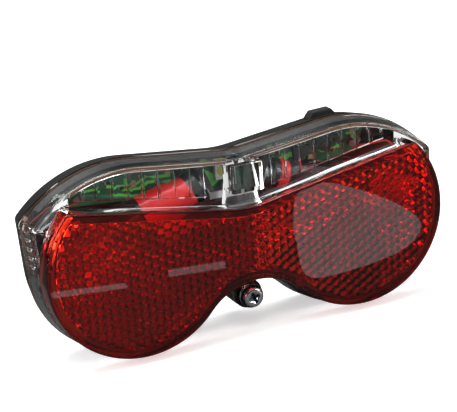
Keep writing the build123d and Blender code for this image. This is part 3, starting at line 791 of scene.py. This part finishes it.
def winding(low, high):
    """One wire wound in the space between two corners."""
    coil = bmesh.new()
    middle = (low + high) / 2
    radius = (high.x - low.x) / 2 - wire_radius
    turns = int((high.y - low.y) / (2 * wire_radius)) - 1
    ring = bmesh.ops.create_circle(coil, segments=8, radius=wire_radius)["verts"]
    bmesh.ops.translate(coil, verts=ring, vec=(middle.x + radius, low.y + wire_radius, middle.z))
    bmesh.ops.spin(coil, geom=coil.verts[:] + coil.edges[:], axis=(0, 1, 0), cent=middle,
                   angle=2 * pi * turns, steps=steps_a_turn * turns,
                   dvec=(0, 2 * wire_radius / steps_a_turn, 0))
    bmesh.ops.holes_fill(coil, edges=coil.edges[:])
    bmesh.ops.recalc_face_normals(coil, faces=coil.faces)
    return coil


coils = bmesh.new()
for corners in clusters("coil_windings"):
    join(coils, winding(*corners))
wound_coils = add_piece("wound_coils", coils, "housing", copper, ["coil_windings"])
soften(wound_coils)
print("wire faces:", len(wound_coils.data.polygons))

# %% [markdown]
# ## Copper tracks under the green
# Copper shines through the green mask, so the tracks show as wide lines, brighter than the
# board. They could be painted, but they are a little raised, so they are drawn as round cords
# on a curve and pressed nearly flat onto the board. Each has a width and a few corners in
# millimetres, chosen roughly after the widest tracks that the window shows, and guessed where
# the window hides them.

# %% Draw the tracks
board_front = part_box("circuit_board")[0].y
track_height = 0.06 * mm
tracks = [
    (1.4, [(-42, 15.8), (-37, 15.2)]),
    (1.3, [(-34.6, 15.6), (-30, 15.0), (-29.6, 13.4), (-25, 13.2), (-22.4, 15.4), (-15.4, 15.6)]),
    (0.8, [(-28.8, 18.2), (-29, 15.2)]),
    (0.9, [(-30, 15.2), (-25.6, 15.4), (-22.6, 18.0), (-15.4, 17.4)]),
    (1.2, [(-33, 12), (-27, 10.4), (-20, 10.4)]),
    (2.6, [(-6.6, 16.4), (-3.4, 14.4), (-2.2, 12.2)]),
    (1.5, [(18.4, 15.2), (21.6, 16.0), (24.4, 16.2)]),
    (1.1, [(31.8, 17.4), (31.6, 14.6), (33.2, 13.0), (35.0, 13.4)]),
    (1.2, [(36.4, 18.6), (36.4, 16.6), (38.4, 15.2), (38.0, 13.2), (35.8, 12.6)]),
    (1.5, [(40.4, 17.6), (42.2, 17.4), (44.4, 15.0)]),
    (1.2, [(41.4, 19.4), (43.0, 18.6), (45.0, 18.8)]),
    (1.0, [(9.6, 19.2), (14.0, 19.6), (16.4, 17.0), (16.4, 13.0)]),
    (1.0, [(6.6, 12.0), (10.6, 9.6), (16.0, 9.6), (19.0, 11.6)]),
    (1.0, [(-12.0, 18.6), (-9.4, 18.4), (-7.8, 16.4)]),
]


def mesh_of_curve(curve):
    """The mesh that a curve gives, with the curve taken away."""
    curve_object = bpy.data.objects.new("curve", curve)
    bpy.context.scene.collection.objects.link(curve_object)
    made = bmesh.new()
    data = bake(curve_object)
    made.from_mesh(data)
    bpy.data.meshes.remove(data)
    bpy.data.curves.remove(curve)
    return made


def polyline(curve, points, width):
    """One run of a curve, as wide as given at each of its points."""
    spline = curve.splines.new("POLY")
    spline.points.add(len(points) - 1)
    for point, (x, z) in zip(spline.points, points):
        point.co = (x * mm, board_front, z * mm, 1)
        point.radius = width / 2


track_curve = bpy.data.curves.new("tracks", "CURVE")
track_curve.dimensions = "3D"
track_curve.bevel_depth = 1 * mm
track_curve.bevel_resolution = 2
track_curve.use_fill_caps = True
for width, points in tracks:
    polyline(track_curve, points, width)
copper_tracks = mesh_of_curve(track_curve)
widest = max(abs(vert.co.y - board_front) for vert in copper_tracks.verts)
for vert in copper_tracks.verts:
    vert.co.y = board_front + (vert.co.y - board_front) * track_height / widest
track_green = grained("mask_over_copper", (0.2, 0.8, 0.15), 0.35, spread=0.05)
board_tracks = add_piece("copper_tracks", copper_tracks, "housing", track_green)
soften(board_tracks)
print("tracks:", len(tracks), "faces:", len(board_tracks.data.polygons))

# %% [markdown]
# ## Solder and tinned ends
# Chip resistors and capacitors have tinned ends, and wires and legs are held by small beads of
# solder. Both could be modelled one by one, but they repeat, so the ends are cubes set on the
# parts as the frame gives them, and the beads are spheres pressed flat. The beads at coils,
# legs and leads also take their places from the frame. Seven more are listed one by one.

# %% Cap the small parts
cap_share = 0.2
cap_proud = 0.03 * mm


def end_caps(name, axis):
    """Tinned ends, a little proud, on every solid of a piece, at both ends of an axis."""
    caps = bmesh.new()
    for low, high in clusters(name):
        for end, outward in ((low, -1), (high, 1)):
            size = high - low + Vector((2, 1, 2)) * cap_proud
            size[axis] = cap_share * (high - low)[axis]
            middle = (low + high) / 2
            middle.y -= cap_proud / 2
            middle[axis] = end[axis] - (size[axis] / 2 - cap_proud) * outward
            cube = bmesh.ops.create_cube(caps, size=1)["verts"]
            bmesh.ops.scale(caps, verts=cube, vec=size)
            bmesh.ops.translate(caps, verts=cube, vec=middle)
    bmesh.ops.bevel(caps, geom=caps.edges[:], offset=cap_proud, segments=2, profile=0.5,
                    affect="EDGES", material=-1)
    return caps


tin = grained("tinned_solder", (0.66, 0.6, 0.46), 0.28, Metallic=1.0)
caps = end_caps("resistors", 0)
join(caps, end_caps("capacitors", 2))
tinned_ends = add_piece("tinned_ends", caps, "housing", tin)
soften(tinned_ends)
print("tinned ends faces:", len(tinned_ends.data.polygons))

# %% Melt the solder joints
solder_radius = 0.55 * mm
solder_rise = 0.3 * mm
wire_bead_share, leg_bead_share, lead_bead_share = 0.8, 0.45, 1.2
free_places = [(-38, 18.2), (-35.4, 18.6), (-33, 18.4), (-12, 12.6), (12.4, 16.6), (19.4, 18.6),
               (26.6, 11.4)]
solder = bmesh.new()
coil_pads = [Vector((corner.x, 0, (low.z + high.z) / 2)) for low, high in clusters("coil_cores")
             for corner in (low, high)]
leg_pads = [(low + high) / 2 for low, high in clusters("chip_legs")]
lead_pads = [Vector(((low.x + high.x) / 2, 0, high.z)) for low, high in clusters("battery_leads")]
free_pads = [Vector((x, 0, z)) * mm for x, z in free_places]
for pads, share in ((coil_pads, wire_bead_share), (leg_pads, leg_bead_share),
                    (lead_pads, lead_bead_share), (free_pads, wire_bead_share)):
    for pad_place in pads:
        bead = bmesh.ops.create_uvsphere(solder, u_segments=12, v_segments=8, radius=solder_radius * share)
        bmesh.ops.scale(solder, verts=bead["verts"], vec=(1, solder_rise / solder_radius, 1))
        bmesh.ops.translate(solder, verts=bead["verts"], vec=(pad_place.x, board_front, pad_place.z))
solder_joints = add_piece("solder_joints", solder, "housing", tin)
soften(solder_joints)
print("solder joints:", len(coil_pads) + len(leg_pads) + len(lead_pads) + len(free_pads))

# %% [markdown]
# ## The diode's yellow face
# A white diode is a blue one under a yellow silicone fill. A yellow disc painted on the body
# would look flat, so the fill is a shallow cap in the round well: a sphere pressed flat.

# %% Fill the diode
diode_low, diode_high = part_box("main_diode")
well_radius = 1.85 * mm
well_depth = 0.4 * mm
fill = bmesh.new()
bmesh.ops.create_uvsphere(fill, u_segments=32, v_segments=12, radius=well_radius)
bmesh.ops.scale(fill, verts=fill.verts, vec=(1, well_depth / well_radius, 1))
well_place = ((diode_low.x + diode_high.x) / 2, diode_low.y + well_depth, (diode_low.z + diode_high.z) / 2)
bmesh.ops.translate(fill, verts=fill.verts, vec=well_place)
phosphor = grained("phosphor_silicone", (0.85, 0.72, 0.16), 0.25, Subsurface_Weight=0.2)
diode_fill = add_piece("diode_fill", fill, "housing", phosphor)
soften(diode_fill)
print("diode fill faces:", len(diode_fill.data.polygons))

# %% [markdown]
# ## The rubber button
# The button is moulded in rubber, so none of its edges is sharp. Its shape is right in the
# frame, so it isn't modelled anew: a copy is merged, its flat faces are made one again, and its
# sharp edges are rounded with a bevel.

# %% Round the button
button_round = 0.35 * mm
flat_angle = 1
sharp_angle = 20
button_shading_angle = 50
button = node_copy("button_cap")
bmesh.ops.dissolve_limit(button, angle_limit=radians(flat_angle), verts=button.verts, edges=button.edges)
sharp = [edge for edge in button.edges if edge.calc_face_angle(0) > radians(sharp_angle)]
bmesh.ops.bevel(button, geom=sharp, offset=button_round, segments=4, profile=0.5, affect="EDGES",
                clamp_overlap=True, material=-1)
soft_button = add_piece("rubber_button", button, "button", rubber, ["button_cap"])
soften(soft_button, button_shading_angle)
print("button edges rounded:", len(sharp))

# %% [markdown]
# ## A pale floor
# The light stands before plain white. The floor lies just under the lobes, so its shadow stays
# near. A brighter lamp would whiten the floor but wash out the light too, so the floor gets a
# little glow of its own that only the camera sees. Seen in a shiny face it is dark, because a
# white floor would cover the red and the black with white.

# %% Lay the floor
floor_half = 3.0
floor_gap = 0.05 * mm
floor_white = 0.9
floor_mirrored = 0.12
floor_glow_strength = 0.55

floor_bmesh = bmesh.new()
bmesh.ops.create_grid(floor_bmesh, x_segments=1, y_segments=1, size=floor_half)
bmesh.ops.translate(floor_bmesh, verts=floor_bmesh.verts, vec=(0, 0, cad_low.z - floor_gap))
floor = make_object("floor", floor_bmesh)
floor_card = new_material("floor_card", Roughness=0.9, Specular_IOR_Level=0.0,
                          Emission_Color=(1.0, 1.0, 1.0))
floor_path = add_node(floor_card, "ShaderNodeLightPath")
floor_shade = add_node(floor_card, "ShaderNodeMapRange", To_Min=floor_white, To_Max=floor_mirrored)
wire(floor_card, floor_path.outputs["Is Glossy Ray"], floor_shade.inputs["Value"])
wire(floor_card, floor_shade.outputs["Result"], shader_of(floor_card).inputs["Base Color"])
floor_glow = add_node(floor_card, "ShaderNodeMath")
floor_glow.operation = "MULTIPLY"
floor_glow.inputs[1].default_value = floor_glow_strength
wire(floor_card, floor_path.outputs["Is Camera Ray"], floor_glow.inputs[0])
wire(floor_card, floor_glow.outputs["Value"], shader_of(floor_card).inputs["Emission Strength"])
floor.data.materials.append(floor_card)
print("floor half width:", floor_half, "m")

# %% [markdown]
# ## The room round the light
# The camera sees a plain white room. Glass needs something dark to stand out from, so for
# reflections the room is dark low down and white overhead. Light that has come through glass
# meets a white room with two dark places. One lies on the side from which the light is looked
# at, because corner cubes send light back to where it came from. The other is a wall behind
# and above: without it the top of the rim mirrors a white wall and turns to milk.

# %% Start the room
world = bpy.data.worlds.new("studio")
bpy.context.scene.world = world
world.use_nodes = True
world_nodes = world.node_tree.nodes
join_up = world.node_tree.links.new


def room_node(kind, operation=None, **values):
    """A node of the room, with its operation and its input sockets set by name."""
    node = world_nodes.new(kind)
    if operation:
        node.operation = operation
    for key, value in values.items():
        node.inputs[key.replace("_", " ")].default_value = value
    return node


heading = room_node("ShaderNodeTexCoord")
path = room_node("ShaderNodeLightPath")
print("nodes at the start:", len(world_nodes))

# %% Shade it for reflections
dark_up_to = 0.55
white_from = 0.85
room_dark = (0.035, 0.037, 0.04, 1)
room_white = (0.8, 0.8, 0.8, 1)

height = room_node("ShaderNodeSeparateXYZ")
room_shade = room_node("ShaderNodeValToRGB")
dark_end, white_end = room_shade.color_ramp.elements
dark_end.position, white_end.position = dark_up_to, white_from
dark_end.color, white_end.color = room_dark, room_white
room = world_nodes["Background"]
join_up(heading.outputs["Generated"], height.inputs[0])
join_up(height.outputs["Z"], room_shade.inputs["Fac"])
join_up(room_shade.outputs["Color"], room.inputs["Color"])
print("dark for reflections up to", round(degrees(asin(dark_up_to))), "degrees above the floor")


# %% Darken two places for light that came through glass
def dark_place(direction, core, rim, brightness):
    """White, but for a round place in a direction, given by the cosines of its core and rim."""
    facing = room_node("ShaderNodeVectorMath", "DOT_PRODUCT")
    facing.inputs[1].default_value = direction
    shade = room_node("ShaderNodeMapRange", From_Min=core, From_Max=rim, To_Min=brightness)
    join_up(heading.outputs["Generated"], facing.inputs[0])
    join_up(facing.outputs["Value"], shade.inputs["Value"])
    return shade.outputs["Result"]


viewing_side = dark_place((-0.37, -0.88, 0.31), core=0.99, rim=0.88, brightness=0.75)
wall_behind = dark_place((0.36, 0.88, 0.31), core=0.93, rim=0.7, brightness=0.06)
both_places = room_node("ShaderNodeMath", "MULTIPLY")
through_glass = room_node("ShaderNodeMath", "MULTIPLY")
join_up(viewing_side, both_places.inputs[0])
join_up(wall_behind, both_places.inputs[1])
join_up(both_places.outputs[0], through_glass.inputs[0])
join_up(path.outputs["Is Transmission Ray"], through_glass.inputs[1])
print("nodes with the two dark places:", len(world_nodes))

# %% Put the room together
white_view = room_node("ShaderNodeMath", "MAXIMUM")
backdrop = room_node("ShaderNodeBackground", Color=(1, 1, 1, 1))
mix = room_node("ShaderNodeMixShader")
join_up(path.outputs["Is Camera Ray"], white_view.inputs[0])
join_up(through_glass.outputs[0], white_view.inputs[1])
join_up(white_view.outputs[0], mix.inputs["Fac"])
join_up(room.outputs[0], mix.inputs[1])
join_up(backdrop.outputs[0], mix.inputs[2])
join_up(mix.outputs[0], world_nodes["World Output"].inputs["Surface"])
print("nodes that shade the room:", len(world_nodes))

# %% [markdown]
# ## Soft veils on the flat front
# A flat polished front mirrors the table before it, and that gives it broad pale veils. The
# red under them keeps its own colour, so the veils can't be a paint: they are cards that lie
# on the floor and shine only into reflections. Each has a strength and an outline in
# millimetres on the panel, and a line from the mirrored viewing place through each of its
# points finds the spot on the floor.

# %% Lay the pale cards
card_lift = 0.3 * mm
card_step = 0.05 * mm
card_tint = (0.92, 0.95, 1.0)
card_level = cad_low.z + card_lift
mirrored_place = Vector((camera_place.x, 2 * panel_front - camera_place.y, camera_place.z))
card_outlines = {
    "wide_card": (0.5, [(14, 14), (24, 12.6), (36, 7), (45.5, 1.6), (52.4, -4), (53.6, -8), (49, -12.4),
                         (40.2, -14.6), (27, -15.6), (15, -15.8), (13, -9), (13, 2)]),
    "inner_card": (0.35, [(14, 13.4), (24, 12), (32, 8), (35.4, 4.1), (33, 0), (25.9, -3.2),
                          (14, -5.6), (12, -2), (12.4, 5)]),
    "block_card": (0.5, [(13, 1.7), (21, 1.6), (20.5, -4.3), (13, -3.8)]),
    "middle_bar": (0.3, [(-25.9, -2.7), (-9.1, -3.9), (-9.0, -6.0), (-25.9, -4.8)]),
    "left_bar": (0.35, [(-60.3, -1.4), (-38.5, -3.6), (-37.8, -5.2), (-59.9, -3.2)]),
}
for level, (name, (strength, outline)) in enumerate(card_outlines.items()):
    card_curve = bpy.data.curves.new(name, "CURVE")
    card_curve.dimensions = "2D"
    card_curve.fill_mode = "BOTH"
    spline = card_curve.splines.new("NURBS" if len(outline) > 4 else "POLY")
    spline.points.add(len(outline) - 1)
    spline.use_cyclic_u = True
    height_here = card_level + level * card_step
    for point, (x, z) in zip(spline.points, outline):
        spot = Vector((x * mm, panel_front, z * mm)) - mirrored_place
        spot = mirrored_place + spot * (height_here - mirrored_place.z) / spot.z
        point.co = (spot.x, spot.y, 0, 1)
    card_bmesh = mesh_of_curve(card_curve)
    bmesh.ops.translate(card_bmesh, verts=card_bmesh.verts, vec=(0, 0, height_here))
    card = make_object(name, card_bmesh)
    glow = new_material(name, Roughness=1.0, Emission_Color=card_tint, Emission_Strength=strength)
    card.data.materials.append(glow)
    card.visible_camera = False
    card.visible_diffuse = False
    card.visible_transmission = False
    card.visible_shadow = False
print("cards:", len(card_outlines))

# %% [markdown]
# ## Soft lamps
# Product pictures are lit by softboxes, big panels whose shadows are soft. A small lamp
# would give hard shadows and sparks in the glass, so the three lamps here are wide areas: one
# overhead and one on each side. Places and sizes are in metres, and strengths in watts.

# %% Hang the lamps
lamps = [
    ("top_softbox", (-0.1, 0.1, 0.8), (0.7, 0.5), 6),
    ("left_softbox", (-0.8, -0.2, 0.35), (0.4, 0.5), 4),
    ("right_softbox", (0.7, -0.5, 0.4), (0.4, 0.5), 3),
]


def softbox(name, place, size, power):
    """A rectangular area lamp that faces the light."""
    lamp_data = bpy.data.lights.new(name, "AREA")
    lamp_data.shape = "RECTANGLE"
    lamp_data.size, lamp_data.size_y = size
    lamp_data.energy = power
    lamp = bpy.data.objects.new(name, lamp_data)
    lamp.location = place
    lamp.rotation_mode = "QUATERNION"
    lamp.rotation_quaternion = (-Vector(place)).to_track_quat("-Z", "Y")
    bpy.context.scene.collection.objects.link(lamp)


for lamp_values in lamps:
    softbox(*lamp_values)
bpy.context.scene.view_settings.view_transform = "Standard"
print("lamps:", len(lamps))
